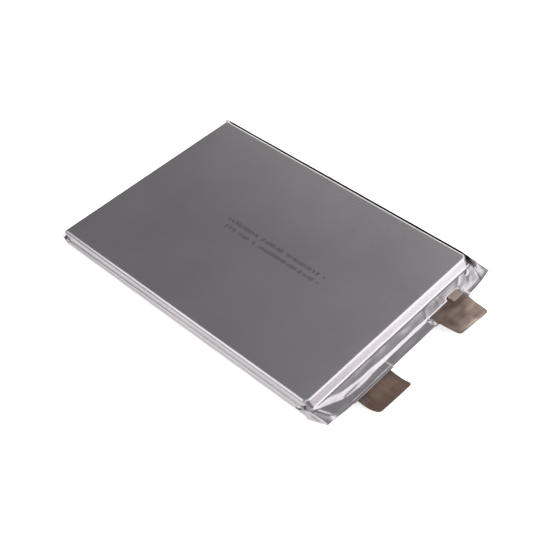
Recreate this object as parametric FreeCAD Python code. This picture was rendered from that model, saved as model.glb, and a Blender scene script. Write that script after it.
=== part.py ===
"""Pouch lithium-ion cell: a stack of electrodes sealed in a twin-cup laminate pouch.

Millimetres. X runs along the cell with the tabs at +X, Y across it with the
negative tab at -Y, and Z up. The origin is the centre of the bottom face.
"""
import FreeCAD, Part
import math
import os

from FreeCAD import Vector

# Outer size of the sealed pouch.
CELL_LENGTH = 200.0
CELL_WIDTH = 135.0
CELL_HEIGHT = 10.0

# Laminate pouch. Both cups are drawn to the same depth, so the seal is at mid height.
LAMINATE = 0.15
CUP_RADIUS = 2.0
FLANGE_GAP = 0.45
FLANGE_TOP = 9.4
NEAR_FLANGE_WIDTH = 2.7
NEAR_FLANGE_UP_X = 93.0
NEAR_FLANGE_DOWN_X = (-88.0, 86.0)
FLANGE_END_SLANT = 1.8
FLANGE_END_BACK = 1.2
EAR_LENGTH = 2.6
EAR_HEIGHT = 7.6
SHOULDER_LENGTH = 3.25
SHOULDER_FOOT = 1.2
RAMP_END = 0.6
RAMP_LENGTH = 8.05
SEAL_LENGTH = 5.1

# Electrode stack.
ANODE_COUNT = 26
COPPER_FOIL = 0.010
GRAPHITE = 0.079
ALUMINIUM_FOIL = 0.014
CATHODE_COATING = 0.066
SEPARATOR = 0.022
ANODE_WIDTH = 130.0
CATHODE_WIDTH = 128.0
SEPARATOR_WIDTH = 130.8
FOLD_CLEARANCE = 1.5
SEPARATOR_OVERHANG = 0.6
CATHODE_INSET = 1.0
SEPARATOR_LENGTH = 181.2

# Foil tongues, gathered on the tab leads.
TONGUE_WIDTH = 24.0
TONGUE_FLAT = 0.2
TONGUE_FALL = 4.1
WELD_LENGTH = 4.0
FOIL_GAP = 0.001

# Tabs.
TAB_WIDTH = 25.5
TAB_SPACING = 65.6
TAB_REACH = 14.2
TAB_THICKNESS = 0.3
TAB_CORNER = 2.0
LEAD_INSET = 0.2
HINGE_BEYOND_SEAL = 1.55
HINGE_GAP = 0.4
STRIP_THICKNESS = 0.2
STRIP_START = 0.2
FOLDED_LEAD_START = 0.5
FOLDED_LEAD_GAP = 0.02
LEAD_BEND_BEYOND_SEAL = 0.7

# Knurled weld that joins the nickel strip to the folded aluminium lead.
KNURL_PITCH = 0.7
KNURL_DEPTH = 0.08
KNURL_ROWS = 4
KNURL_COLUMNS = 12
KNURL_START = 0.5
KNURL_OFFSET = 8.2

# Sealant films round the tabs, and the tapes.
TAB_FILM = 0.10
FILM_OVERHANG = 2.1
FILM_INSIDE = 1.3
FILM_OUTSIDE = 0.5
WELD_TAPE = 0.06
WELD_TAPE_LENGTH = 4.6
STACK_TAPE = 0.03
STACK_TAPE_WIDTH = 20.0
STACK_TAPE_LAP = 10.0
SIDE_TAPE_SPACING = 90.0
END_TAPE_SPACING = 70.0

# Places that follow from the sizes above.
MID_Z = CELL_HEIGHT / 2
WALL_Y = CELL_WIDTH / 2 - FLANGE_GAP - 2 * LAMINATE
TERRACE_LENGTH = SHOULDER_LENGTH + RAMP_LENGTH + SEAL_LENGTH
FOLD_X = (TERRACE_LENGTH - CELL_LENGTH) / 2 - 0.6
SEAL_END_X = FOLD_X + CELL_LENGTH
RIDGE_X = SEAL_END_X - SEAL_LENGTH
SHOULDER_FOOT_X = RIDGE_X - RAMP_LENGTH
FACE_END_X = SHOULDER_FOOT_X - SHOULDER_LENGTH
CATHODE_COUNT = ANODE_COUNT - 1
ANODE = COPPER_FOIL + 2 * GRAPHITE
CATHODE = ALUMINIUM_FOIL + 2 * CATHODE_COATING
STACK_PITCH = ANODE + CATHODE + 2 * SEPARATOR
STACK_HEIGHT = ANODE_COUNT * (ANODE + SEPARATOR) + CATHODE_COUNT * (CATHODE + SEPARATOR) + SEPARATOR
STACK_BOTTOM = MID_Z - STACK_HEIGHT / 2
STACK_TOP = MID_Z + STACK_HEIGHT / 2
SEPARATOR_X = (FOLD_X + FOLD_CLEARANCE, FOLD_X + FOLD_CLEARANCE + SEPARATOR_LENGTH)
ANODE_X = (SEPARATOR_X[0] + SEPARATOR_OVERHANG, SEPARATOR_X[1] - SEPARATOR_OVERHANG)
CATHODE_X = (ANODE_X[0] + CATHODE_INSET, ANODE_X[1] - CATHODE_INSET)
TONGUE_BEND_X = SEPARATOR_X[1] + TONGUE_FLAT
WELD_X = TONGUE_BEND_X + TONGUE_FALL
LEAD_X = WELD_X + LEAD_INSET
HINGE_X = SEAL_END_X + HINGE_BEYOND_SEAL
LEAD_END_X = HINGE_X - HINGE_GAP / 2
BLADE_X = HINGE_X + HINGE_GAP / 2
TAB_TIP_X = SEAL_END_X + TAB_REACH
NEGATIVE_Y = -TAB_SPACING / 2
POSITIVE_Y = TAB_SPACING / 2
LEAD_TOP = MID_Z + TAB_THICKNESS / 2
LEAD_BOTTOM = MID_Z - TAB_THICKNESS / 2
PATCH_HALF = TAB_WIDTH / 2 + FILM_OVERHANG
PATCH_RISE = TAB_THICKNESS / 2 + TAB_FILM
FOLDED_LEAD_Z = MID_Z + PATCH_RISE + LAMINATE + FOLDED_LEAD_GAP
STRIP_Z = FOLDED_LEAD_Z + TAB_THICKNESS


def prism(corners, sweep):
    """Solid swept from the flat polygon through the given corners."""
    outline = Part.makePolygon(corners + corners[:1])
    return Part.Face(outline).extrude(sweep)


def prism_along_x(outline, x0, x1):
    """Solid with a (y, z) outline, from x0 to x1."""
    return prism([Vector(x0, y, z) for y, z in outline], Vector(x1 - x0, 0, 0))


def prism_along_y(outline, y0, y1):
    """Solid with an (x, z) outline, from y0 to y1."""
    return prism([Vector(x, y0, z) for x, z in outline], Vector(0, y1 - y0, 0))


def plate(xs, centre_y, width, z0, z1):
    """Flat rectangular piece, centred across the cell on centre_y."""
    corner = Vector(xs[0], centre_y - width / 2, z0)
    return Part.makeBox(xs[1] - xs[0], width, z1 - z0, corner)


def thicken(path, thickness):
    """Closed outline of a strip of even thickness laid along an open path of 2D points."""
    half = thickness / 2
    normals = []
    for (ax, az), (bx, bz) in zip(path, path[1:]):
        length = math.hypot(bx - ax, bz - az)
        normals.append(((az - bz) / length, (bx - ax) / length))
    left, right = [], []
    for index, (x, z) in enumerate(path):
        before = normals[max(index - 1, 0)]
        after = normals[min(index, len(normals) - 1)]
        scale = half / (1 + before[0] * after[0] + before[1] * after[1])
        shift = ((before[0] + after[0]) * scale, (before[1] + after[1]) * scale)
        left.append((x + shift[0], z + shift[1]))
        right.append((x - shift[0], z - shift[1]))
    return left + right[::-1]


def mirror_across(shape):
    """The same shape on the other side of the cell's centre line."""
    return shape.mirror(Vector(0, 0, 0), Vector(0, 1, 0))


def mirror_over(shape):
    """The same shape on the other side of the seal's plane."""
    return shape.mirror(Vector(0, 0, MID_Z), Vector(0, 0, 1))


# ---- pouch ----

def arc_edge(start, centre, end):
    """Quarter arc from start to end about centre."""
    middle = (start + end) * 0.5 - centre
    middle.normalize()
    return Part.Arc(start, centre + middle * (start - centre).Length, end).toShape()


def cup_across(half_width, z_open, z_flat, radius):
    """Face in the YZ plane: the cup's section, with both edges of its flat face rounded."""
    left_wall = Vector(0, -half_width, z_flat - radius)
    left_flat = Vector(0, radius - half_width, z_flat)
    right_flat = Vector(0, half_width - radius, z_flat)
    right_wall = Vector(0, half_width, z_flat - radius)
    left_open = Vector(0, -half_width, z_open)
    right_open = Vector(0, half_width, z_open)
    edges = [
        Part.makeLine(left_open, left_wall),
        arc_edge(left_wall, Vector(0, radius - half_width, z_flat - radius), left_flat),
        Part.makeLine(left_flat, right_flat),
        arc_edge(right_flat, Vector(0, half_width - radius, z_flat - radius), right_wall),
        Part.makeLine(right_wall, right_open),
        Part.makeLine(right_open, left_open),
    ]
    return Part.Face(Part.Wire(edges))


def cup_along(z_open):
    """Face in the XZ plane: the cup's side view, from the fold to the ridge of the seal."""
    wall_top = Vector(FOLD_X, 0, CELL_HEIGHT - CUP_RADIUS)
    flat_start = Vector(FOLD_X + CUP_RADIUS, 0, CELL_HEIGHT)
    centre = Vector(FOLD_X + CUP_RADIUS, 0, CELL_HEIGHT - CUP_RADIUS)
    corners = [
        flat_start,
        Vector(FACE_END_X, 0, CELL_HEIGHT),
        Vector(SHOULDER_FOOT_X, 0, MID_Z + SHOULDER_FOOT),
        Vector(RIDGE_X, 0, MID_Z + RAMP_END),
        Vector(RIDGE_X, 0, z_open),
        Vector(FOLD_X, 0, z_open),
        wall_top,
    ]
    lines = [Part.makeLine(a, b) for a, b in zip(corners, corners[1:])]
    return Part.Face(Part.Wire(lines + [arc_edge(wall_top, centre, flat_start)]))


def cup_block(along, half_width, z_open, z_flat, radius):
    """Solid that fills a cup: its side view met with its section."""
    side = along.copy()
    side.translate(Vector(0, -CELL_WIDTH, 0))
    side = side.extrude(Vector(0, 2 * CELL_WIDTH, 0))
    section = cup_across(half_width, z_open, z_flat, radius)
    section.translate(Vector(-CELL_LENGTH, 0, 0))
    return side.common(section.extrude(Vector(2 * CELL_LENGTH, 0, 0)))


def upper_cup():
    """Drawn cup with its shoulder and the unsealed ramp towards the tabs."""
    outside = cup_block(cup_along(MID_Z), WALL_Y, MID_Z, CELL_HEIGHT, CUP_RADIUS)
    below = MID_Z - 1.0
    inner_view = cup_along(below).makeOffset2D(-LAMINATE, 2)
    inner_flat = CELL_HEIGHT - LAMINATE
    inside = cup_block(inner_view, WALL_Y - LAMINATE, below, inner_flat, CUP_RADIUS - LAMINATE)
    cup = outside.cut(inside)
    for centre_y in (NEGATIVE_Y, POSITIVE_Y):
        slot_x = (RIDGE_X - 2 * LAMINATE, RIDGE_X + LAMINATE)
        cup = cup.cut(plate(slot_x, centre_y, 2 * PATCH_HALF, MID_Z - 1.0, MID_Z + PATCH_RISE))
    return cup


def upper_seal_strip():
    """End seal of one half: flat laminate that steps up over the film round each tab."""
    inside = [(-WALL_Y, MID_Z)]
    outside = [(-WALL_Y, MID_Z + LAMINATE)]
    for centre_y in (NEGATIVE_Y, POSITIVE_Y):
        for side in (-1, 1):
            levels = (0, PATCH_RISE) if side < 0 else (PATCH_RISE, 0)
            for level in levels:
                inside.append((centre_y + side * PATCH_HALF, MID_Z + level))
                step_y = centre_y + side * (PATCH_HALF + LAMINATE)
                outside.append((step_y, MID_Z + level + LAMINATE))
    inside.append((WALL_Y, MID_Z))
    outside.append((WALL_Y, MID_Z + LAMINATE))
    return prism_along_x(inside + outside[::-1], RIDGE_X, SEAL_END_X)


def flange_foot(x_span, z_low, z_high, end_y):
    """Flat strip of one half's side seal on the +Y side, out of the seam."""
    outline = [
        (WALL_Y - LAMINATE, z_low),
        (end_y, z_low),
        (end_y, z_high),
        (WALL_Y - LAMINATE, z_high),
    ]
    return prism_along_x(outline, *x_span)


def far_flange(z_low, z_high, layer_y):
    """Side seal of one half on the +Y side, folded up the wall along its whole length."""
    foot_end_x = SEAL_END_X - FLANGE_END_BACK
    foot = flange_foot((FOLD_X, foot_end_x), z_low, z_high, layer_y)
    upright_outline = [
        (FOLD_X, z_low),
        (FOLD_X - EAR_LENGTH, EAR_HEIGHT),
        (FOLD_X, FLANGE_TOP),
        (foot_end_x + FLANGE_END_SLANT, FLANGE_TOP),
        (foot_end_x, z_low),
    ]
    upright = prism_along_y(upright_outline, layer_y - LAMINATE, layer_y)
    return foot.fuse(upright)


def near_flange(z_low, z_high, up_layer_y, down_layer_y):
    """Narrower side seal of one half, folded down but for its two ends, which turn up.

    It is drawn on the +Y side. The part that turns from down to up is trimmed to a foot.
    """
    foot_end_x = SEAL_END_X - FLANGE_END_BACK
    down_start_x, down_end_x = NEAR_FLANGE_DOWN_X
    up_top_z = MID_Z + NEAR_FLANGE_WIDTH
    foot = flange_foot((FOLD_X, foot_end_x), z_low, z_high, min(up_layer_y, down_layer_y))
    down_foot = flange_foot((down_start_x, down_end_x), z_low, z_high, down_layer_y)
    down = prism_along_y(
        [
            (down_start_x, MID_Z - NEAR_FLANGE_WIDTH),
            (down_end_x, MID_Z - NEAR_FLANGE_WIDTH),
            (down_end_x, z_high),
            (down_start_x, z_high),
        ],
        down_layer_y - LAMINATE,
        down_layer_y,
    )
    up_foot = flange_foot((NEAR_FLANGE_UP_X, foot_end_x), z_low, z_high, up_layer_y)
    up = prism_along_y(
        [
            (NEAR_FLANGE_UP_X, z_low),
            (NEAR_FLANGE_UP_X, up_top_z),
            (foot_end_x + FLANGE_END_SLANT, up_top_z),
            (foot_end_x, z_low),
        ],
        up_layer_y - LAMINATE,
        up_layer_y,
    )
    ear_foot = flange_foot((FOLD_X, down_start_x), z_low, z_high, up_layer_y)
    ear = prism_along_y(
        [
            (FOLD_X, z_low),
            (FOLD_X - EAR_LENGTH, EAR_HEIGHT),
            (down_start_x, z_high),
            (down_start_x, z_low),
        ],
        up_layer_y - LAMINATE,
        up_layer_y,
    )
    return foot.fuse([down_foot, down, up_foot, up, ear_foot, ear])


def joined(pieces):
    """One solid from touching or overlapping pieces."""
    body = pieces[0].fuse(pieces[1:]).removeSplitter()
    return body.Solids[0] if len(body.Solids) == 1 else body


def upper_pouch_half():
    """Upper half of the laminate sheet, with the inner layers of the flanges that stand up."""
    inner_y = WALL_Y + FLANGE_GAP + LAMINATE
    outer_y = inner_y + LAMINATE
    far = far_flange(MID_Z, MID_Z + LAMINATE, inner_y)
    near = near_flange(MID_Z, MID_Z + LAMINATE, inner_y, outer_y)
    return joined([upper_cup(), upper_seal_strip(), far, mirror_across(near)])


def lower_pouch_half():
    """Lower half of the laminate sheet, with the outer layers of the flanges that stand up."""
    inner_y = WALL_Y + FLANGE_GAP + LAMINATE
    outer_y = inner_y + LAMINATE
    far = far_flange(MID_Z - LAMINATE, MID_Z, outer_y)
    near = near_flange(MID_Z - LAMINATE, MID_Z, outer_y, inner_y)
    cup = mirror_over(upper_cup())
    strip = mirror_over(upper_seal_strip())
    return joined([cup, strip, far, mirror_across(near)])


# ---- electrode stack ----

def anode_levels():
    """Bottom of each anode."""
    return [STACK_BOTTOM + SEPARATOR + i * STACK_PITCH for i in range(ANODE_COUNT)]


def cathode_levels():
    """Bottom of each cathode."""
    return [z + ANODE + SEPARATOR for z in anode_levels()[:CATHODE_COUNT]]


def foils(levels, xs, width, centre_y, thickness):
    """Foils with a tongue each; the tongues fall together onto the tab lead."""
    solids = []
    for index, z in enumerate(levels):
        weld_z = LEAD_TOP + index * (thickness + FOIL_GAP)
        line = [(xs[1], z), (TONGUE_BEND_X, z), (WELD_X, weld_z), (WELD_X + WELD_LENGTH, weld_z)]
        outline = line + [(x, level + thickness) for x, level in line[::-1]]
        tongue = prism_along_y(outline, centre_y - TONGUE_WIDTH / 2, centre_y + TONGUE_WIDTH / 2)
        solids.append(joined([plate(xs, 0, width, z, z + thickness), tongue]))
    return Part.makeCompound(solids)


def coatings(levels, xs, width, foil, coating):
    """The coating under and over each foil."""
    solids = []
    for z in levels:
        for z0 in (z, z + coating + foil):
            solids.append(plate(xs, 0, width, z0, z0 + coating))
    return Part.makeCompound(solids)


def anode_copper_foils():
    levels = [z + GRAPHITE for z in anode_levels()]
    return foils(levels, ANODE_X, ANODE_WIDTH, NEGATIVE_Y, COPPER_FOIL)


def cathode_aluminium_foils():
    levels = [z + CATHODE_COATING for z in cathode_levels()]
    return foils(levels, CATHODE_X, CATHODE_WIDTH, POSITIVE_Y, ALUMINIUM_FOIL)


def anode_graphite_coatings():
    return coatings(anode_levels(), ANODE_X, ANODE_WIDTH, COPPER_FOIL, GRAPHITE)


def cathode_oxide_coatings():
    return coatings(cathode_levels(), CATHODE_X, CATHODE_WIDTH, ALUMINIUM_FOIL, CATHODE_COATING)


def separator_web():
    """One long film folded to and fro between the electrodes, turning at the long sides."""
    half = (SEPARATOR_WIDTH - SEPARATOR) / 2
    path = []
    side = -1
    for z in anode_levels():
        for middle in (z - SEPARATOR / 2, z + ANODE + SEPARATOR / 2):
            path.append((side * half, middle))
            path.append((-side * half, middle))
            side = -side
    return prism_along_x(thicken(path, SEPARATOR), *SEPARATOR_X)


def tape_path(lap_end, edge):
    """A strip's path over the stack's top, round one edge, and back under it."""
    top = STACK_TOP + STACK_TAPE / 2
    bottom = STACK_BOTTOM - STACK_TAPE / 2
    return [(lap_end, top), (edge, top), (edge, bottom), (lap_end, bottom)]


def side_tape(side, centre_x):
    """Tape that holds one long side of the stack together."""
    edge = side * (SEPARATOR_WIDTH + STACK_TAPE) / 2
    outline = thicken(tape_path(edge - side * STACK_TAPE_LAP, edge), STACK_TAPE)
    return prism_along_x(outline, centre_x - STACK_TAPE_WIDTH / 2, centre_x + STACK_TAPE_WIDTH / 2)


def fold_end_tape(centre_y):
    """Tape that holds the end of the stack at the pouch's fold."""
    edge = SEPARATOR_X[0] - STACK_TAPE / 2
    outline = thicken(tape_path(edge + STACK_TAPE_LAP, edge), STACK_TAPE)
    return prism_along_y(outline, centre_y - STACK_TAPE_WIDTH / 2, centre_y + STACK_TAPE_WIDTH / 2)


# ---- tabs ----

def blade(centre_y, z0, z1):
    """Free end of a tab, with its two outer corners rounded."""
    flat = plate((BLADE_X, TAB_TIP_X), centre_y, TAB_WIDTH, z0, z1)
    tip_edges = []
    for edge in flat.Edges:
        at_tip = all(abs(vertex.X - TAB_TIP_X) < LAMINATE for vertex in edge.Vertexes)
        if at_tip and abs(edge.Length - (z1 - z0)) < LAMINATE:
            tip_edges.append(edge)
    return flat.makeFillet(TAB_CORNER, tip_edges)


def negative_tab_lead():
    """Nickel-plated copper strip from the foil weld out through the end seal."""
    return plate((LEAD_X, LEAD_END_X), NEGATIVE_Y, TAB_WIDTH, LEAD_BOTTOM, LEAD_TOP)


def positive_tab_lead():
    """Aluminium strip that leaves the end seal and is folded back over it."""
    bend_x = SEAL_END_X + LEAD_BEND_BEYOND_SEAL
    flat = plate((LEAD_X, bend_x), POSITIVE_Y, TAB_WIDTH, LEAD_BOTTOM, LEAD_TOP)
    back_x = (RIDGE_X + FOLDED_LEAD_START, bend_x)
    back = plate(back_x, POSITIVE_Y, TAB_WIDTH, FOLDED_LEAD_Z, FOLDED_LEAD_Z + TAB_THICKNESS)
    inner = (FOLDED_LEAD_Z - LEAD_TOP) / 2
    base = Vector(bend_x, POSITIVE_Y - TAB_WIDTH / 2, LEAD_TOP + inner)
    along_y = Vector(0, 1, 0)
    roll = Part.makeCylinder(inner + TAB_THICKNESS, TAB_WIDTH, base, along_y)
    roll = roll.cut(Part.makeCylinder(inner, TAB_WIDTH, base, along_y))
    half = plate((bend_x, bend_x + 1.0), POSITIVE_Y, TAB_WIDTH, MID_Z - 1.0, MID_Z + 2.0)
    return joined([flat, back, roll.common(half)])


def knurl_grooves():
    """Crossing V grooves of the weld on the nickel strip's top face."""
    top = STRIP_Z + STRIP_THICKNESS
    x0 = RIDGE_X + KNURL_START
    x1 = x0 + KNURL_ROWS * KNURL_PITCH
    y0 = POSITIVE_Y + KNURL_OFFSET - KNURL_COLUMNS * KNURL_PITCH / 2
    y1 = y0 + KNURL_COLUMNS * KNURL_PITCH
    grooves = []
    for row in range(KNURL_ROWS + 1):
        x = x0 + row * KNURL_PITCH
        notch = [(x - KNURL_DEPTH, top), (x, top - KNURL_DEPTH), (x + KNURL_DEPTH, top)]
        grooves.append(prism_along_y(notch, y0, y1))
    for column in range(KNURL_COLUMNS + 1):
        y = y0 + column * KNURL_PITCH
        notch = [(y - KNURL_DEPTH, top), (y, top - KNURL_DEPTH), (y + KNURL_DEPTH, top)]
        grooves.append(prism_along_x(notch, x0, x1))
    return grooves


def positive_strip_root():
    """Part of the nickel strip that lies on the seal, welded to the aluminium lead."""
    xs = (RIDGE_X + STRIP_START, LEAD_END_X)
    root = plate(xs, POSITIVE_Y, TAB_WIDTH, STRIP_Z, STRIP_Z + STRIP_THICKNESS)
    return root.cut(knurl_grooves())


def upper_tab_film(centre_y):
    """Sealant film over a tab, filling down to the seal's plane on both sides of it."""
    half = TAB_WIDTH / 2
    outline = [
        (centre_y - PATCH_HALF, MID_Z),
        (centre_y - half, MID_Z),
        (centre_y - half, LEAD_TOP),
        (centre_y + half, LEAD_TOP),
        (centre_y + half, MID_Z),
        (centre_y + PATCH_HALF, MID_Z),
        (centre_y + PATCH_HALF, LEAD_TOP + TAB_FILM),
        (centre_y - PATCH_HALF, LEAD_TOP + TAB_FILM),
    ]
    return prism_along_x(outline, RIDGE_X - FILM_INSIDE, SEAL_END_X + FILM_OUTSIDE)


def weld_tapes(centre_y, foil_count, foil):
    """Insulating tapes over the foil weld and under the lead below it."""
    xs = (WELD_X, WELD_X + WELD_TAPE_LENGTH)
    top = LEAD_TOP + foil_count * (foil + FOIL_GAP)
    upper = plate(xs, centre_y, TAB_WIDTH, top, top + WELD_TAPE)
    lower_x = (LEAD_X, LEAD_X + WELD_TAPE_LENGTH)
    lower = plate(lower_x, centre_y, TAB_WIDTH, LEAD_BOTTOM - WELD_TAPE, LEAD_BOTTOM)
    return upper, lower


def tab_seal_nodes(name, centre_y, foil_count, foil):
    """Films and tapes of one tab."""
    film = upper_tab_film(centre_y)
    upper_tape, lower_tape = weld_tapes(centre_y, foil_count, foil)
    return {
        name + "_tab_film_upper": film,
        name + "_tab_film_lower": mirror_over(film),
        name + "_weld_tape_upper": upper_tape,
        name + "_weld_tape_lower": lower_tape,
    }


def stack_tape_nodes():
    """The six tapes round the stack."""
    half_x = SIDE_TAPE_SPACING / 2
    half_y = END_TAPE_SPACING / 2
    return {
        "stack_tape_near_tab_end": side_tape(-1, half_x),
        "stack_tape_near_fold_end": side_tape(-1, -half_x),
        "stack_tape_far_tab_end": side_tape(1, half_x),
        "stack_tape_far_fold_end": side_tape(1, -half_x),
        "stack_tape_end_negative_side": fold_end_tape(-half_y),
        "stack_tape_end_positive_side": fold_end_tape(half_y),
    }


def all_nodes():
    """Every sub-part by name."""
    nodes = {
        "upper_pouch_half": upper_pouch_half(),
        "lower_pouch_half": lower_pouch_half(),
        "anode_copper_foils": anode_copper_foils(),
        "anode_graphite_coatings": anode_graphite_coatings(),
        "cathode_aluminium_foils": cathode_aluminium_foils(),
        "cathode_oxide_coatings": cathode_oxide_coatings(),
        "separator_web": separator_web(),
        "negative_tab_lead": negative_tab_lead(),
        "negative_tab_blade": blade(NEGATIVE_Y, LEAD_BOTTOM, LEAD_TOP),
        "positive_tab_lead": positive_tab_lead(),
        "positive_strip_root": positive_strip_root(),
        "positive_strip_blade": blade(POSITIVE_Y, STRIP_Z, STRIP_Z + STRIP_THICKNESS),
    }
    nodes.update(stack_tape_nodes())
    nodes.update(tab_seal_nodes("negative", NEGATIVE_Y, ANODE_COUNT, COPPER_FOIL))
    nodes.update(tab_seal_nodes("positive", POSITIVE_Y, CATHODE_COUNT, ALUMINIUM_FOIL))
    return nodes


def main():
    os.makedirs("parts", exist_ok=True)
    for name, shape in all_nodes().items():
        box = shape.BoundBox
        print(name, len(shape.Solids), shape.isValid(), round(shape.Volume, 2),
              [round(v, 3) for v in (box.XMin, box.XMax, box.YMin, box.YMax, box.ZMin, box.ZMax)])
        shape.exportStep("parts/" + name + ".step")


main()
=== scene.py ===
"""Looks of the pouch battery cell: laminate skins, bent tabs, ink marks, materials, light and camera.

Lengths in this script are millimetres until a mesh is made. X runs along the cell
with the tabs at +X, Y across it with the negative tab at -Y, and Z up.
"""

import math

import bpy
import numpy as np
from mathutils import Matrix, Vector


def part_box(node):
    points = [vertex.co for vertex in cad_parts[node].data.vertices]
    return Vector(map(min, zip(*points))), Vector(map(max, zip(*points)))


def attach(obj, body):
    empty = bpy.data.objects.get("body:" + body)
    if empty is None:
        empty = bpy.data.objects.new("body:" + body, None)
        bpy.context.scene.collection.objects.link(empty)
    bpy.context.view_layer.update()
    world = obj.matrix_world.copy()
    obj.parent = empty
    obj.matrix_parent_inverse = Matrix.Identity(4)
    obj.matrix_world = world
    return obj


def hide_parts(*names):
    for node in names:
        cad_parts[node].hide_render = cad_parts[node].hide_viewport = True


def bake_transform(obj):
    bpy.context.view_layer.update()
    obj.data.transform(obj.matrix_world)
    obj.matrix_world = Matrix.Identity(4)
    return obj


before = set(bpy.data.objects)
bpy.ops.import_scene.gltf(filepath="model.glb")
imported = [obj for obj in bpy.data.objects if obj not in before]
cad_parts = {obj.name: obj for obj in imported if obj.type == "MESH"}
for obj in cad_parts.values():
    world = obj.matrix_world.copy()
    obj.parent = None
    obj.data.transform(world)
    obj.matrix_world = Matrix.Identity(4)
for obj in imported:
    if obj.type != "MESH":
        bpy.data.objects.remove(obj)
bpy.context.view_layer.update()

MM = 0.001


def box_mm(node):
    """Lowest and highest corners of a CAD node, in millimetres."""
    low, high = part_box(node)
    return [value / MM for value in low], [value / MM for value in high]


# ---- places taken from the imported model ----

UPPER = box_mm("upper_pouch_half")
LOWER = box_mm("lower_pouch_half")
NEGATIVE_LEAD = box_mm("negative_tab_lead")
NEGATIVE_BLADE = box_mm("negative_tab_blade")
STRIP_ROOT = box_mm("positive_strip_root")
TAB_FILM = box_mm("negative_tab_film_upper")

# Lengths that the boxes don't give.
CELL_LENGTH = 200.0
FILM_OUTSIDE = 0.5
FILM_INSIDE = 1.3
RAMP_LENGTH = 7.5
SHOULDER_LENGTH = 2.85
WALL_INSET = 0.6

LAMINATE = LOWER[1][1] - UPPER[1][1]
CELL_TOP = UPPER[1][2]
MID_Z = CELL_TOP / 2
CUP_DEPTH = CELL_TOP - MID_Z
EAR_TIP_X = UPPER[0][0]
SEAL_END_X = TAB_FILM[1][0] - FILM_OUTSIDE
RIDGE_X = TAB_FILM[0][0] + FILM_INSIDE
SHOULDER_FOOT_X = RIDGE_X - RAMP_LENGTH
FACE_END_X = SHOULDER_FOOT_X - SHOULDER_LENGTH
WALL_Y = UPPER[1][1] - WALL_INSET
FOLD_X = SEAL_END_X - CELL_LENGTH
NEGATIVE_Y = (NEGATIVE_LEAD[0][1] + NEGATIVE_LEAD[1][1]) / 2
POSITIVE_Y = (STRIP_ROOT[0][1] + STRIP_ROOT[1][1]) / 2
PATCH_HALF = (TAB_FILM[1][1] - TAB_FILM[0][1]) / 2
PATCH_RISE = TAB_FILM[1][2] - MID_Z
TAB_TIP_X = NEGATIVE_BLADE[1][0]
TAB_HALF = (NEGATIVE_LEAD[1][1] - NEGATIVE_LEAD[0][1]) / 2

# ---- pouch shape ----

CUP_RADIUS = 2.0
DRAFT = 0.12
FOLD_CORNER = 2.0
FACE_CORNER = 1.9
SHOULDER_ROUNDING = 0.25
SHOULDER_FOOT_HEIGHT = 1.2
SHOULDER_SLOPE = (CUP_DEPTH - SHOULDER_FOOT_HEIGHT) / (SHOULDER_FOOT_X - FACE_END_X)
SKIN = LAMINATE - 0.008
FACE_SINK = 0.02
FACE_SEEDS = (21, 22)


def smooth_max(a, b, blend):
    """Larger of two heights, rounded where they meet."""
    return 0.5 * (a + b + np.sqrt((a - b) ** 2 + blend ** 2))


def smooth_min(a, b, blend):
    """Smaller of two heights, rounded where they meet."""
    return -smooth_max(-a, -b, blend)


def smooth_step(x, low, high):
    """Soft rise from 0 to 1 between two places."""
    t = np.clip((x - low) / (high - low), 0.0, 1.0)
    return t * t * (3 - 2 * t)


def ripple(x, y, length, seed, waves=9):
    """Smooth random waviness between about -1 and 1, with waves about the given length."""
    draw = np.random.default_rng(seed)
    total = np.zeros(np.broadcast(x, y).shape)
    for _ in range(waves):
        heading = draw.uniform(0, 2 * math.pi)
        number = 2 * math.pi / (length * draw.uniform(0.6, 1.6))
        shift = draw.uniform(0, 2 * math.pi)
        total = total + np.sin(number * (x * math.cos(heading) + y * math.sin(heading)) + shift)
    return total / math.sqrt(waves * 2.0)


def face_waves(x, y, seed):
    """Slight unevenness of a face, long waves and short ones."""
    return 0.035 * ripple(x, y, 55, seed) + 0.012 * ripple(x, y, 17, 23)


def bump(x, y, place, size, turn_deg=0.0):
    """Soft oval bump of height 1 at a place, its first side turned from X."""
    turn = math.radians(turn_deg)
    dx, dy = x - place[0], y - place[1]
    along = dx * math.cos(turn) + dy * math.sin(turn)
    across = dy * math.cos(turn) - dx * math.sin(turn)
    return np.exp(-((along / size[0]) ** 2 + (across / size[1]) ** 2))


def wall_profile(inside):
    """Height over the seal at a distance inside the cup's outline."""
    wall_top = CUP_DEPTH - CUP_RADIUS
    on_wall = LAMINATE + (wall_top - LAMINATE) * inside / DRAFT
    reach = np.clip(CUP_RADIUS - (inside - DRAFT), 0, CUP_RADIUS)
    on_arc = wall_top + np.sqrt(CUP_RADIUS ** 2 - reach ** 2)
    return np.where(inside < DRAFT, np.maximum(on_wall, 0), on_arc)


def wall_distance(height):
    """Distance inside the outline at which the wall has a height."""
    wall_top = CUP_DEPTH - CUP_RADIUS
    on_wall = DRAFT * (height - LAMINATE) / (wall_top - LAMINATE)
    rise = np.clip(height - wall_top, 0, CUP_RADIUS)
    on_arc = DRAFT + CUP_RADIUS - np.sqrt(CUP_RADIUS ** 2 - rise ** 2)
    return np.where(height < wall_top, on_wall, on_arc)


def round_corner(a, b, radius):
    """Distance inside an outline whose two sides meet in a rounded corner."""
    ra, rb = np.maximum(radius - a, 0), np.maximum(radius - b, 0)
    return np.where((ra > 0) & (rb > 0), radius - np.hypot(ra, rb), np.minimum(a, b))


def shoulder_height(x):
    """Height over the seal of the sloping end of the cup."""
    return smooth_min(CUP_DEPTH, CUP_DEPTH - SHOULDER_SLOPE * (x - FACE_END_X), SHOULDER_ROUNDING)


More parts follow.
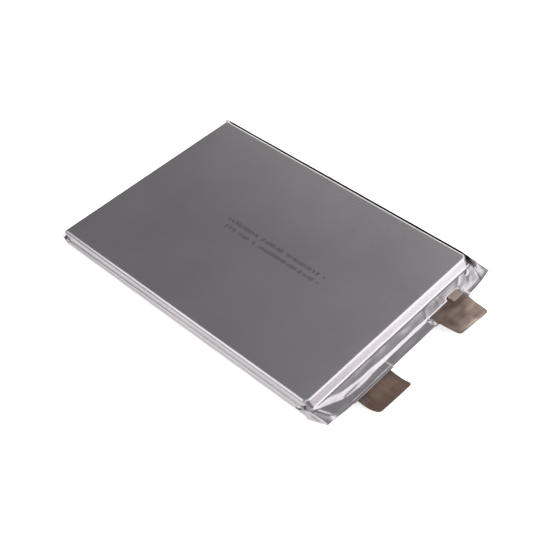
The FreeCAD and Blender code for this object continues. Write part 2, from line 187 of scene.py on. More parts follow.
def tab_end_cup(x, side):
    """Height of the cup at its tab end: wall, sloping shoulder and the corner between them."""
    table_x = np.linspace(FACE_END_X - 2.5, FACE_END_X + 6, 400)
    table_height = shoulder_height(table_x)[::-1]
    wall = wall_profile(side)
    shoulder = shoulder_height(x)
    corner_x = x - (FACE_END_X - FACE_CORNER)
    corner_y = DRAFT + CUP_RADIUS + FACE_CORNER - side
    low = np.full(corner_x.shape, -1.5)
    high = np.full(corner_x.shape, CUP_DEPTH)
    for _ in range(26):
        middle = (low + high) / 2
        reach_x = FACE_CORNER + np.interp(middle, table_height, table_x[::-1]) - FACE_END_X
        reach_y = DRAFT + CUP_RADIUS + FACE_CORNER - wall_distance(middle)
        outside = (corner_x / reach_x) ** 2 + (corner_y / reach_y) ** 2 > 1
        high = np.where(outside, middle, high)
        low = np.where(outside, low, middle)
    return np.where((corner_x > 0) & (corner_y > 0), low, np.minimum(wall, shoulder))


# Upper half's sealed end, a row for each place across the cell: Y, where the ramp breaks in a ridge,
# where it has dropped to the seal, and the ramp's height at its foot and at its ridge.
SEALED_END = (
    (-68, 94.6, 94.9, 1.1, 0.9),
    (-66, 94.8, 95.0, 1.1, 0.9),
    (-64, 95.1, 95.9, 1.1, 0.9),
    (-58, 96.2, 98.1, 1.1, 0.9),
    (-53, 97.2, 100.5, 1.1, 0.9),
    (-47, 99.0, 102.8, 1.12, 0.9),
    (-38, 100.2, 103.6, 1.15, 0.9),
    (-30, 100.6, 103.1, 1.16, 0.9),
    (-20, 101.0, 102.6, 1.2, 0.9),
    (0, 101.4, 102.4, 1.15, 0.85),
    (20, 101.0, 102.6, 1.12, 0.7),
    (34, 101.6, 103.2, 1.1, 0.72),
    (48, 101.8, 105.2, 1.08, 0.68),
    (56, 101.8, 105.4, 0.95, 0.5),
    (61, 101.2, 104.6, 1.0, 0.5),
    (64, 99.6, 101.6, 1.1, 0.6),
    (66, 97.5, 98.8, 1.1, 0.8),
    (68, 96.6, 97.8, 1.1, 0.8),
)
ACROSS, RIDGE_LINE, DROP_LINE, FOOT_LEVEL, RIDGE_LEVEL = zip(*SEALED_END)

# Edge of the sealant film, the ramp under the nickel strip and its knurled weld, and the slanted fold
# in which the lower half's near side runs out to the corner of the seal.
FILM_EDGE_X = SEAL_END_X - 1.4
STRIP_EDGE_Y = (POSITIVE_Y - TAB_HALF, POSITIVE_Y + TAB_HALF)
KNURL_EDGE_Y = POSITIVE_Y + 4.6
STRIP_RIDGE_X = 101.7
STRIP_DROP_X = 102.3
KNURL_RIDGE_BACK = 1.6
KNURL_DROP_BACK = 1.4
RAMP_FROM_X = 88
TENT_X = (92.6, SEAL_END_X - 1.4)
TENT_Y = (56, 64)

# Creases of the sealed end, as height, start, end and width.
CREASES = (
    (0.08, (103.2, 17.0), (96.5, 23.0), 0.7),
    (0.07, (101.5, 30.0), (95.0, 34.0), 0.8),
    (0.09, (100.0, 47.5), (94.8, 56.0), 0.8),
    (0.26, (98.6, 57.6), (96.4, 61.0), 0.6),
    (0.07, (103.6, 53.5), (99.0, 59.5), 0.9),
    (0.50, (95.8, -64.4), (106.4, -60.6), 1.7),
)
# Swellings and dents of the sealed end, as height, place, size and turn in degrees.
SWELLINGS = (
    (-0.03, (98.0, 29.0), (2.2, 3.0), 20),
    (0.03, (96.6, 40.5), (1.8, 4.2), 0),
    (-0.08, (101.5, 51.5), (2.2, 2.6), 0),
    (0.06, (104.4, 57.5), (1.8, 2.6), 30),
    (0.07, (96.0, -13.0), (1.5, 3.6), 10),
    (0.07, (96.8, 4.0), (1.8, 4.0), -10),
    (0.05, (96.0, -33.0), (1.4, 2.6), 0),
    (-0.05, (97.6, -26.0), (1.6, 3.5), 0),
    (0.75, (104.8, STRIP_EDGE_Y[0] - 1.5), (2.3, 0.7), 3),
)


def between(y, low, high, soft):
    """1 between two places, falling softly to 0 outside them."""
    return smooth_step(y, low - soft, low) * (1 - smooth_step(y, high, high + soft))


def ramp_height(x, y, level):
    """Height of the soft ramp over the gathered foils, from the shoulder to the seal."""
    under_strip = between(y, STRIP_EDGE_Y[0], STRIP_EDGE_Y[1], 1.0)
    under_knurl = between(y, KNURL_EDGE_Y, STRIP_EDGE_Y[1], 2.2)
    ridge = np.interp(y, ACROSS, RIDGE_LINE) + 0.25 * ripple(y, 0 * y, 11, 4)
    drop = np.interp(y, ACROSS, DROP_LINE) + 0.15 * ripple(y, 0 * y, 8, 5)
    ridge = ridge + (STRIP_RIDGE_X - ridge) * under_strip - KNURL_RIDGE_BACK * under_knurl
    drop = drop + (STRIP_DROP_X - drop) * under_strip - KNURL_DROP_BACK * under_knurl
    foot = np.interp(y, ACROSS, FOOT_LEVEL)
    foot_x = FACE_END_X + (CUP_DEPTH - foot) / SHOULDER_SLOPE
    fall = np.clip((x - foot_x) / (ridge - foot_x), -0.3, 1.2)
    sag = 0.10 * np.clip(fall * (1 - fall), -0.1, 1) * foot
    ridge_level = np.interp(y, ACROSS, RIDGE_LEVEL)
    groove = 0.22 * np.exp(-((x - foot_x - 0.5) / 0.3) ** 2)
    top = foot + (ridge_level - foot) * fall - sag - groove
    steep = np.maximum(ridge_level - level, 0.02) / np.maximum(drop - ridge, 0.25)
    return smooth_min(top, level + steep * (drop - x), 0.05)


def plain_ramp(x, y, side, level):
    """Ramp of the lower half; on the near side it runs out to the corner of the seal."""
    fall = np.clip((x - SHOULDER_FOOT_X) / (RIDGE_X - SHOULDER_FOOT_X), 0, 1.2)
    ramp = np.minimum(1.12 - 0.22 * fall, level + 0.6 * (RIDGE_X + 1.2 - x))
    ramp = LAMINATE + (ramp - LAMINATE) * smooth_step(side, 0.3, 1.5)
    tent = CUP_DEPTH * (1 - (x - TENT_X[0]) / (TENT_X[1] - TENT_X[0]))
    tent = np.clip(tent, 0, CUP_DEPTH) * smooth_step(-y, *TENT_Y) * smooth_step(side, 0.0, 0.25)
    return np.maximum(ramp, tent)


def crease(x, y, start, end, width):
    """Soft ridge of height 1 between two places."""
    run = np.array(end) - np.array(start)
    length = math.hypot(*run)
    along = ((x - start[0]) * run[0] + (y - start[1]) * run[1]) / length
    off = ((y - start[1]) * run[0] - (x - start[0]) * run[1]) / length
    ends = smooth_step(along, -0.1 * length, 0.2 * length)
    ends = ends * (1 - smooth_step(along, 0.75 * length, 1.1 * length))
    return ends * np.exp(-(off / width) ** 2)


def upper_details(x, y):
    """Creases and dents of the sealed end of the upper half."""
    on_ramp = smooth_step(x, SHOULDER_FOOT_X, SHOULDER_FOOT_X + 1.5)
    on_ramp = on_ramp * (1 - smooth_step(x, RIDGE_X, RIDGE_X + 1.5))
    far = smooth_step(y, 8, 30)
    total = 0.028 * ripple(x, y * 0.5, 6, 11) * on_ramp * (0.4 + 0.8 * far)
    film_edge = np.exp(-((x - FILM_EDGE_X) / 0.28) ** 2)
    total = total + 0.05 * film_edge * between(y, NEGATIVE_Y - PATCH_HALF, NEGATIVE_Y + PATCH_HALF, 0.3)
    for height, start, end, width in CREASES:
        total = total + height * crease(x, y, start, end, width)
    for height, place, size, turn in SWELLINGS:
        total = total + height * bump(x, y, place, size, turn)
    return total


def film_patch(x, y, centre):
    """Share of the step up over the sealant film round a tab."""
    inside = PATCH_HALF + 0.25 - np.abs(y - centre)
    return smooth_step(inside, -0.9, 0.5) * smooth_step(x, RIDGE_X - 2.0, RIDGE_X)


def seal_level(x, y):
    """Height of the sealed end's flat parts, stepped up over the sealant films."""
    patches = film_patch(x, y, NEGATIVE_Y) + film_patch(x, y, POSITIVE_Y)
    return LAMINATE + PATCH_RISE * patches + 0.045 * ripple(x, y, 9, 61) * smooth_step(x, 96, 100)


def cup_height(x, across, y, upper):
    """Offset of one pouch half from the seal's plane, at its place in the flat sheet."""
    side = WALL_Y - across
    fold = x - FOLD_X
    fold_cup = wall_profile(round_corner(fold, side, FOLD_CORNER))
    cup = np.where(x < 0, np.minimum(fold_cup, CUP_DEPTH), tab_end_cup(x, side))
    level = seal_level(x, y)
    fade = smooth_step(side, 0.3, 1.5)
    if upper:
        ramp = LAMINATE + (ramp_height(x, y, level) - LAMINATE) * fade
    else:
        ramp = plain_ramp(x, y, side, level)
    corner = smooth_step(x, RAMP_FROM_X, 91) * (1 - smooth_step(x, 94, 98))
    corner = corner * (1 - smooth_step(side, 0.8, 4.0))
    blend = 0.06 + 0.5 * corner * upper
    height = np.where(x > RAMP_FROM_X, smooth_max(cup, smooth_max(ramp, level, 0.04), blend), cup)
    if upper:
        height = height + upper_details(x, y) * fade * smooth_step(x, 93.2, 95.0)
    flat = smooth_step(cup, CUP_DEPTH - 0.4, CUP_DEPTH)
    waves = face_waves(x, y, FACE_SEEDS[0] if upper else FACE_SEEDS[1])
    height = height + waves * flat * (1.0 if upper else 0.4) - FACE_SINK * flat
    seam = np.clip(fold / DRAFT, 0, 1)
    height = np.where(x < 0, np.maximum(height, LAMINATE * seam), height)
    beyond = smooth_step(across, WALL_Y, WALL_Y + 0.25)
    return height * (1 - beyond) + LAMINATE * beyond


# Far side seal, folded up, a row for each place along the cell: X, distance of the fold line from the
# cell's middle, place across and height of the top edge, and radius of the fold.
FAR_SEAL = (
    (-95, 67.05, 67.35, 9.35, 0.3),
    (-60, 67.05, 67.4, 9.3, 0.3),
    (0, 67.05, 67.42, 9.38, 0.3),
    (60, 67.05, 67.38, 9.35, 0.3),
    (88, 67.05, 67.2, 9.4, 0.3),
    (93, 66.9, 67.1, 9.0, 0.4),
    (97, 65.3, 67.1, 8.4, 0.7),
    (102, 62.6, 67.1, 7.8, 1.0),
    (106.6, 60.0, 67.0, 7.2, 1.1),
    (110, 58.2, 67.0, 7.0, 1.1),
)
FAR_X, FAR_FOLD_Y, FAR_TOP_Y, FAR_TOP_Z, FAR_RADIUS = zip(*FAR_SEAL)

# Near side seal, folded down and turned up towards both ends, a row for each place along the cell: X,
# distance of the fold line from the cell's middle, angle in degrees, flat length past the fold, radius.
NEAR_SEAL = (
    (-95, 66.9, 84, 3.3, 0.35),
    (-92.4, 66.9, 82, 3.3, 0.35),
    (-91, 66.85, 70, 2.2, 0.4),
    (-89.6, 66.8, 10, 1.3, 0.5),
    (-88, 66.8, -50, 1.8, 0.7),
    (-85, 66.8, -84, 2.6, 0.85),
    (-60, 66.8, -86, 2.5, 0.9),
    (0, 66.8, -84, 2.6, 0.85),
    (60, 66.8, -86, 2.45, 0.9),
    (84, 66.8, -84, 2.5, 0.85),
    (86.5, 66.8, -70, 2.2, 0.7),
    (88.5, 66.85, -40, 1.7, 0.6),
    (90, 66.9, -4, 1.5, 0.5),
    (91.5, 66.8, 34, 1.8, 0.55),
    (93.2, 66.5, 62, 2.9, 0.8),
    (96, 66.0, 76, 3.8, 1.1),
    (99.5, 65.8, 84, 4.3, 1.2),
    (103, 65.7, 86, 4.4, 1.3),
    (106.5, 65.6, 84, 3.9, 1.3),
    (110, 65.6, 84, 3.9, 1.3),
)
NEAR_X, NEAR_FOLD_Y, NEAR_TURN, NEAR_LENGTH, NEAR_RADIUS = zip(*NEAR_SEAL)


def flange_bend(x, far):
    """Fold line, bend radius, fold angle (down is negative) and flat length past the fold line."""
    if not far:
        turn = np.radians(np.interp(x, NEAR_X, NEAR_TURN) + 3 * ripple(x, 0 * x, 22, 31))
        length = np.interp(x, NEAR_X, NEAR_LENGTH) + 0.1 * ripple(x, 0 * x, 19, 33)
        return np.interp(x, NEAR_X, NEAR_FOLD_Y), np.interp(x, NEAR_X, NEAR_RADIUS), turn, length
    fold_y = np.interp(x, FAR_X, FAR_FOLD_Y)
    top_y = np.interp(x, FAR_X, FAR_TOP_Y) + 0.06 * ripple(x, 0 * x, 26, 32)
    top_z = np.interp(x, FAR_X, FAR_TOP_Z) + 0.07 * ripple(x, 0 * x, 19, 34)
    dy, dz = top_y - fold_y, top_z - MID_Z
    radius = np.interp(x, FAR_X, FAR_RADIUS)
    straight = np.sqrt(dy ** 2 + (dz - radius) ** 2 - radius ** 2)
    angle = np.arctan2(dz - radius, dy) + np.arctan2(radius, straight)
    return fold_y, radius, angle, straight + radius * angle


def fold_seal(x, across, offset, far):
    """Carries a point of the flat sheet, with its offset, round the side seal's fold."""
    fold_y, radius, angle, _ = flange_bend(x, far)
    past = across - fold_y
    heading = np.sign(angle)
    turned = np.minimum(np.maximum(past, 0) / radius, np.abs(angle))
    beyond = np.maximum(past - radius * np.abs(angle), 0)
    middle_y = np.where(past > 0, fold_y + radius * np.sin(turned) + beyond * np.cos(angle), across)
    middle_z = heading * (radius * (1 - np.cos(turned)) + beyond * np.sin(np.abs(angle)))
    y = middle_y - heading * offset * np.sin(turned)
    z = MID_Z + middle_z + offset * np.cos(turned)
    return y, z


def spread(*pieces):
    """Grid lines from runs of (start, end, count), shared ends once."""
    lines = [np.array([pieces[0][0]])]
    for start, end, count in pieces:
        lines.append(np.linspace(start, end, count + 1)[1:])
    return np.concatenate(lines)


def arc_lines(count):
    """Places across a rounded edge that are even along its arc."""
    turn = np.linspace(0, math.pi / 2, count + 1)[1:]
    return DRAFT + CUP_RADIUS * (1 - np.cos(turn))


def lines_along():
    """Grid lines along the cell for a pouch half."""
    fold_wall = np.linspace(0, DRAFT, 6)
    fold_arc = arc_lines(10)
    start = FOLD_X + np.concatenate([fold_wall, fold_arc])
    rest = spread(
        (start[-1], FOLD_X + 8, 14),
        (FOLD_X + 8, 80, 48),
        (80, FACE_END_X - 0.6, 20),
        (FACE_END_X - 0.6, SHOULDER_FOOT_X + 1.4, 24),
        (SHOULDER_FOOT_X + 1.4, SEAL_END_X, 62),
    )
    return np.concatenate([start, rest[1:]])


def lines_across():
    """Grid lines across half of the cell, inside the side seal's root, from the wall inwards."""
    wall = np.linspace(0, DRAFT, 6)
    rest = spread((DRAFT + CUP_RADIUS, 6.0, 9), (6.0, WALL_Y, 78))
    return np.concatenate([wall, arc_lines(10), rest[1:]])


# Outline of the sheet's tab end, and of the ears that the side seals leave at the fold end.
END_START_X = 97.0
END_CUT_BACK = 1.1
FLANGE_END_X = 106.45
FLANGE_END_SLANT = (0.3, -1.0)
FLANGE_FOOT = 0.65
EAR_SHARES = (0, 0.55, 0.72, 1)
EAR_REACH = EAR_TIP_X - FOLD_X
NEAR_EAR = (0, 0.45 * EAR_REACH, 0.7 * EAR_REACH, 0.85 * EAR_REACH)
FAR_EAR = (0, EAR_REACH, EAR_REACH, -0.4)
EAR_LENGTHS = (3, 7)


def drawn_to(x, old_end, new_end):
    """Places along the cell, with those of the sealed end drawn to a new end."""
    shrink = (new_end - END_START_X) / (old_end - END_START_X)
    return np.where(x > END_START_X, END_START_X + (x - END_START_X) * shrink, x)


def inner_line(x, across, side):
    """Places along the cell of a grid line, with the tab end cut to the sheet's own outline."""
    end_x = SEAL_END_X - END_CUT_BACK * smooth_step(across, 50, WALL_Y)
    end_x = end_x + 0.06 * ripple(across * side, 0 * across, 14, 41)
    return drawn_to(x, SEAL_END_X, end_x)


def flange_line(x, share, side, far):
    """Places along and across of a grid line of a side seal, at a share of the seal's width."""
    base_x = inner_line(x, np.full_like(x, WALL_Y), side)
    fold_y, _, _, length = flange_bend(base_x, far)
    width = fold_y + length - WALL_Y
    across = WALL_Y + share * width
    up = np.clip((across - WALL_Y - FLANGE_FOOT) / (width - FLANGE_FOOT), 0, 1)
    cut_x = drawn_to(base_x, base_x[-1], FLANGE_END_X + FLANGE_END_SLANT[far] * up)
    ear = np.interp(up, EAR_SHARES, FAR_EAR if far else NEAR_EAR)
    return cut_x + ear * np.clip(1 - (base_x - FOLD_X) / EAR_LENGTHS[far], 0, 1) ** 1.6, across


def pouch_grid(upper):
    """Points of the visible side of one pouch half, as rows along X."""
    xs = lines_along()[:, None]
    inward = lines_across()
    inner = np.concatenate([-(WALL_Y - inward), (WALL_Y - inward)[::-1][1:]])
    near_shares = np.concatenate([np.linspace(0, 0.5, 12), np.linspace(0.5, 1, 9)[1:]])
    far_shares = np.concatenate([np.linspace(0, 0.22, 7), np.linspace(0.22, 1, 14)[1:]])
    lines = [(*flange_line(xs, share, -1, 0), -1) for share in near_shares[::-1][:-1]]
    for y in inner:
        side = 1 if y > 0 else -1
        across = np.full_like(xs, abs(y))
        lines.append((inner_line(xs, across, side), across, side))
    lines += [(*flange_line(xs, share, 1, 1), 1) for share in far_shares[1:]]

    columns = []
    for x, across, side in lines:
        offset = (1 if upper else -1) * cup_height(x, across, side * across, upper)
        y_out, z = fold_seal(x, across, offset, side > 0)
        columns.append(np.stack([x, side * y_out, z], -1))
    return np.concatenate(columns, axis=1)


# Edges that bend more than this many degrees are shaded sharp.
SHARP_ANGLE = 62


def grid_normals(points):
    """Unit normals of a grid of points, towards the cross product of its two directions."""
    along = np.gradient(points, axis=0)
    across = np.gradient(points, axis=1)
    normal = np.cross(along, across)
    length = np.linalg.norm(normal, axis=-1, keepdims=True)
    return normal / np.maximum(length, 1e-9)


def sheet_mesh(name, outside, thickness, flip=False):
    """Closed sheet: the given grid, a second one inside it, and a rim."""
    normal = grid_normals(outside)
    inside = outside - normal * thickness * (-1 if flip else 1)
    rows, columns = outside.shape[:2]
    points = np.concatenate([outside.reshape(-1, 3), inside.reshape(-1, 3)]) * MM
    count = rows * columns
    index = np.arange(count).reshape(rows, columns)
    quads = np.stack([index[:-1, :-1], index[1:, :-1], index[1:, 1:], index[:-1, 1:]], -1).reshape(-1, 4)
    rim = np.concatenate([index[0, :], index[1:, -1], index[-1, -2::-1], index[-2:0:-1, 0]])
    after = np.roll(rim, -1)
    edge = np.stack([after, rim, rim + count, after + count], -1)
    faces = np.concatenate([quads, quads[:, ::-1] + count, edge[:, ::-1]])
    if flip:
        faces = faces[:, ::-1]
    mesh = bpy.data.meshes.new(name)
    mesh.from_pydata(points.tolist(), [], faces.tolist())
    mesh.validate()
    mesh.update()
    mesh.shade_smooth()
    mesh.set_sharp_from_angle(angle=math.radians(SHARP_ANGLE))
    piece = bpy.data.objects.new(name, mesh)
    bpy.context.scene.collection.objects.link(piece)
    return piece


def pouch_skin(name, upper, node):
    """One half of the laminate pouch, standing for its CAD node."""
    skin = sheet_mesh(name, pouch_grid(upper), SKIN, flip=not upper)
    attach(skin, "cell")
    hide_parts(node)
    return skin


# ---- tabs ----

TAB_CORNER = 2.0
NEGATIVE_THICKNESS = 0.3
STRIP_THICKNESS = 0.2
TAB_ROOT_X = 107.0
STRIP_START_X = 102.3
KNURL_START_BACK = 1.9
KNURL_PITCH = 0.78
KNURL_X = (100.7, 105.1)
KNURL_Y = (POSITIVE_Y + 4.8, POSITIVE_Y + 12.5)
KNURL_HEIGHT = 0.34
KNURL_SINK = 0.10

# Height of each tab's top along its left and right edges, as X and Z.
NEGATIVE_LEFT = (
    (90, 5.15), (107.4, 5.15), (109.5, 5.0), (112.4, 4.8),
    (115, 4.95), (117, 5.6), (119, 6.55), (121.9, 8.1),
)
NEGATIVE_RIGHT = (
    (90, 5.15), (107.4, 5.15), (109.5, 4.98), (112.4, 4.65),
    (115, 4.45), (117, 4.6), (119, 5.05), (121.9, 5.95),
)
POSITIVE_LEFT = ((90, 5.92), (108.7, 5.92), (110.5, 6.0), (113, 6.35), (117.8, 6.8), (121.9, 7.5))
POSITIVE_RIGHT = ((90, 5.92), (108.7, 5.9), (110.5, 5.4), (113.5, 4.75), (118.8, 3.9), (121.9, 3.55))


def strip_start(y):
    """Where the root of the nickel strip starts: further in where it carries the knurled weld."""
    return STRIP_START_X - KNURL_START_BACK * smooth_step(y, KNURL_EDGE_Y - 1.6, KNURL_EDGE_Y + 0.4)


def tab_grid(xs, ys, centre_y, height, start=None):
    """Top surface of a tab: grid lines along and across, with rounded corners at the tip."""
    x = np.repeat(xs[:, None], len(ys), 1)
    if start is not None:
        share = np.clip((TAB_ROOT_X - x) / (TAB_ROOT_X - xs[0]), 0, 1)
        x = x + (start(centre_y + ys)[None, :] - xs[0]) * share
    reach = np.clip(x - (TAB_TIP_X - TAB_CORNER), 0, TAB_CORNER)
    narrow = (TAB_HALF - TAB_CORNER + np.sqrt(TAB_CORNER ** 2 - reach ** 2)) / TAB_HALF
    y = centre_y + ys[None, :] * narrow
    return np.stack([x, y, height(x, y)], -1)


def edge_height(x, edge):
    """Height along one edge of a tab."""
    places, heights = zip(*edge)
    return np.interp(x, places, heights)


def negative_height(x, y):
    """Top of the negative tab: flat in the seal, drooping, then curling up at the tip."""
    left, right = edge_height(x, NEGATIVE_LEFT), edge_height(x, NEGATIVE_RIGHT)
    share = (y - (NEGATIVE_Y - TAB_HALF)) / (2 * TAB_HALF)
    out = smooth_step(x, 107.5, 112)
    return left + (right - left) * share + 0.10 * ripple(x * 0.7, y, 13, 51) * out


def positive_height(x, y):
    """Top of the nickel strip: flat on the seal, then twisted, its left edge higher."""
    left, right = edge_height(x, POSITIVE_LEFT), edge_height(x, POSITIVE_RIGHT)
    share = (y - (POSITIVE_Y - TAB_HALF)) / (2 * TAB_HALF)
    share = smooth_step(share, -0.15, 1.15)
    out = smooth_step(x, 108.5, 112)
    return left + (right - left) * share + 0.12 * ripple(x * 0.6, y, 9, 52) * out


def smooth_rows(height, reach=0.9):
    """Height with its bends along X softened."""
    def softened(x, y):
        shifts = np.linspace(-reach, reach, 7)
        weights = np.cos(shifts / reach * math.pi / 2.2)
        return sum(w * height(x + s, y) for w, s in zip(weights, shifts)) / weights.sum()
    return softened


def knurl(x, y):
    """Raised points of the knurled weld."""
    rows = np.sin(math.pi * (x - KNURL_X[0]) / KNURL_PITCH)
    columns = np.sin(math.pi * (y - KNURL_Y[0]) / KNURL_PITCH)
    inside = (x > KNURL_X[0]) & (x < KNURL_X[1]) & (y > KNURL_Y[0]) & (y < KNURL_Y[1])
    return np.where(inside, KNURL_HEIGHT * np.abs(rows * columns) - KNURL_SINK, 0)


def tip_lines(start, count):
    """Grid lines of a tab from a place to its tip, closer together at the rounded corners."""
    return (start, TAB_TIP_X - TAB_CORNER, count), (TAB_TIP_X - TAB_CORNER, TAB_TIP_X, 12)


def negative_tab():
    """The negative tab as one strip, bending where it leaves the seal."""
    xs = spread((NEGATIVE_LEAD[0][0], TAB_ROOT_X, 12), *tip_lines(TAB_ROOT_X, 40))
    ys = np.linspace(-TAB_HALF, TAB_HALF, 37)
    top = tab_grid(xs, ys, NEGATIVE_Y, smooth_rows(negative_height))
    strip = sheet_mesh("negative_tab_strip", top, NEGATIVE_THICKNESS)
    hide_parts("negative_tab_lead", "negative_tab_blade")
    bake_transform(strip)
    return strip


def positive_tab():
    """The nickel strip of the positive tab, knurled at its root and bending past the seal."""
    xs = spread((101.0, 106.2, 44), *tip_lines(106.2, 44))
    ys = spread((-TAB_HALF, 3.5, 26), (3.5, TAB_HALF, 66))
    height = smooth_rows(positive_height)
    top = tab_grid(xs, ys, POSITIVE_Y, lambda x, y: height(x, y) + knurl(x, y), strip_start)
    strip = sheet_mesh("positive_nickel_strip", top, STRIP_THICKNESS)
    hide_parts("positive_strip_root", "positive_strip_blade")
    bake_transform(strip)
    return strip


# ---- ink marks ----

LINE_START_X = 40.8
CELL_PITCH = 2.7
MARK_HEIGHT = 2.7
INK = 0.012
INK_Z = CELL_TOP + 0.005
BAR_WIDTH = 0.55
BAR_ROWS = ((-2.6, (15, 1, 3, 3)), (2.6, (9, 6, 9)))
SIGN_X = LINE_START_X + 3.6
SIGN_HALF = 0.9
STROKE_HALF = 0.22


def ink_bars():
    """Rectangles of ink, as (x0, x1, y0, y1): two rows of plain upright bars and two polarity marks."""
    draw = np.random.default_rng(7)
    bars = []
    for centre_y, groups in BAR_ROWS:
        x = LINE_START_X
        for group in groups:
            for _ in range(group):
                for shift in draw.choice([0.2, 1.0, 1.8], size=int(draw.integers(2, 4)), replace=False):
                    tall = MARK_HEIGHT * draw.choice([0.7, 0.85, 1.0])
                    top = centre_y - MARK_HEIGHT / 2
                    bars.append((x - shift - BAR_WIDTH, x - shift, top, top + tall))
                x -= CELL_PITCH
            x -= CELL_PITCH * 0.8
    for low_y in (-2.85, 2.4):
        bars.append((SIGN_X - SIGN_HALF, SIGN_X + SIGN_HALF, low_y, low_y + 0.45))
    for low_y, high_y in ((1.7, 2.4), (2.85, 3.55)):
        bars.append((SIGN_X - STROKE_HALF, SIGN_X + STROKE_HALF, low_y, high_y))
    return bars


def print_marks():
    """Ink on the face, as thin raised bars."""
    points, faces = [], []
    for x0, x1, y0, y1 in ink_bars():
        first = len(points)
        lift = float(face_waves(x0, y0, FACE_SEEDS[0])) - FACE_SINK
        for z in (INK_Z + lift, INK_Z + lift + INK):
            points += [(x0, y0, z), (x1, y0, z), (x1, y1, z), (x0, y1, z)]
        quads = [(3, 2, 1, 0), (4, 5, 6, 7), (0, 1, 5, 4), (1, 2, 6, 5), (2, 3, 7, 6), (3, 0, 4, 7)]
        faces += [tuple(first + i for i in quad) for quad in quads]
    mesh = bpy.data.meshes.new("print_marks")
    mesh.from_pydata([(x * MM, y * MM, z * MM) for x, y, z in points], [], faces)
    mesh.update()
    marks = bpy.data.objects.new("print_marks", mesh)
    bpy.context.scene.collection.objects.link(marks)
    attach(marks, "cell")
    return marks


# ---- materials ----

class Nodes:
    """Short way to build one material's nodes."""

    def __init__(self, name):
        self.material = bpy.data.materials.new(name)
        self.material.use_nodes = True
        self.tree = self.material.node_tree
        self.shader = self.tree.nodes["Principled BSDF"]
        self.place = self.add("ShaderNodeTexCoord").outputs["Object"]

    def add(self, kind, **values):
        """New node of a kind, with its settings."""
        node = self.tree.nodes.new(kind)
        for key, value in values.items():
            setattr(node, key, value)
        return node

    def link(self, source, target):
        """Joins an output to an input."""
        self.tree.links.new(source, target)

    def noise(self, size_mm, detail=3.0, stretch=(1, 1, 1), roughness=0.5):
        """Noise with features of about the given size."""
        mapping = self.add("ShaderNodeMapping")
        mapping.inputs["Scale"].default_value = stretch
        self.link(self.place, mapping.inputs["Vector"])
        texture = self.add("ShaderNodeTexNoise")
        texture.inputs["Scale"].default_value = 1 / (size_mm * MM)
        texture.inputs["Detail"].default_value = detail
        texture.inputs["Roughness"].default_value = roughness
        self.link(mapping.outputs["Vector"], texture.inputs["Vector"])
        return texture.outputs["Fac"]

    def ramp(self, factor, stops):
        """Colours by factor, as (position, colour)."""
        node = self.add("ShaderNodeValToRGB")
        elements = node.color_ramp.elements
        while len(elements) < len(stops):
            elements.new(0.5)
        for element, (position, colour) in zip(elements, stops):
            element.position = position
            element.color = (*colour, 1) if len(colour) == 3 else colour
        self.link(factor, node.inputs["Fac"])
        return node.outputs["Color"]

    def range(self, factor, low, high, source=(0.3, 0.7)):
        """Value between low and high as the factor goes through its source range."""
        node = self.add("ShaderNodeMapRange")
        node.inputs["From Min"].default_value, node.inputs["From Max"].default_value = source
        node.inputs["To Min"].default_value, node.inputs["To Max"].default_value = low, high
        self.link(factor, node.inputs["Value"])
        return node.outputs["Result"]

    def combine(self, operation, a, b):
        """Sum or product of two outputs."""
        node = self.add("ShaderNodeMath", operation=operation)
        self.link(a, node.inputs[0])
        self.link(b, node.inputs[1])
        return node.outputs["Value"]

    def axis(self, name):
        """Place along one axis of the object, in metres."""
        split = self.add("ShaderNodeSeparateXYZ")
        self.link(self.place, split.inputs["Vector"])
        return split.outputs[name]

    def window(self, axis, low, high, soft=0.0003):
        """1 between two places on an axis, in metres, and 0 outside them."""
        rise = self.range(self.axis(axis), 0, 1, source=(low - soft, low))
        fall = self.range(self.axis(axis), 1, 0, source=(high, high + soft))
        return self.combine("MULTIPLY", rise, fall)

    def along(self, factor, span, weight):
        """Factor that also grows along X, by the given weight over a span in metres."""
        grow = self.range(self.axis("X"), -weight / 2, weight / 2, source=span)
        return self.combine("ADD", factor, grow)

    def bump(self, height, distance_mm, strength=1.0, below=None):
        """Surface unevenness from a height, over another one where it is given."""
        node = self.add("ShaderNodeBump")
        node.inputs["Strength"].default_value = strength
        node.inputs["Distance"].default_value = distance_mm * MM
        self.link(height, node.inputs["Height"])
        if below is not None:
            self.link(below, node.inputs["Normal"])
        return node.outputs["Normal"]

    def finish(self, colour, rough, normal, metallic=0.0, specular=None):
        """Joins colour, roughness and unevenness to the shader."""
        self.link(colour, self.shader.inputs["Base Color"])
        self.link(rough, self.shader.inputs["Roughness"])
        self.link(normal, self.shader.inputs["Normal"])
        self.shader.inputs["Metallic"].default_value = metallic
        if specular is not None:
            self.shader.inputs["Specular IOR Level"].default_value = specular
        return self.material


def laminate_material():
    """Nylon-faced aluminium laminate: satin grey metal with a fine grain and soft clouds."""
    n = Nodes("pouch_laminate")
    cloud = n.noise(38, 3)
    grain = n.noise(0.45, 2)
    peel = n.noise(2.4, 2)
    colour = n.ramp(cloud, [(0.3, (0.36, 0.346, 0.36)), (0.7, (0.40, 0.386, 0.398))])
    rough = n.range(grain, 0.245, 0.265)
    normal = n.bump(peel, 0.002, 0.06, below=n.bump(grain, 0.001, 0.04))
    n.finish(colour, rough, normal, metallic=1.0)
    n.shader.inputs["Coat Weight"].default_value = 0.15
    n.shader.inputs["Coat Roughness"].default_value = 0.12
    return n.material


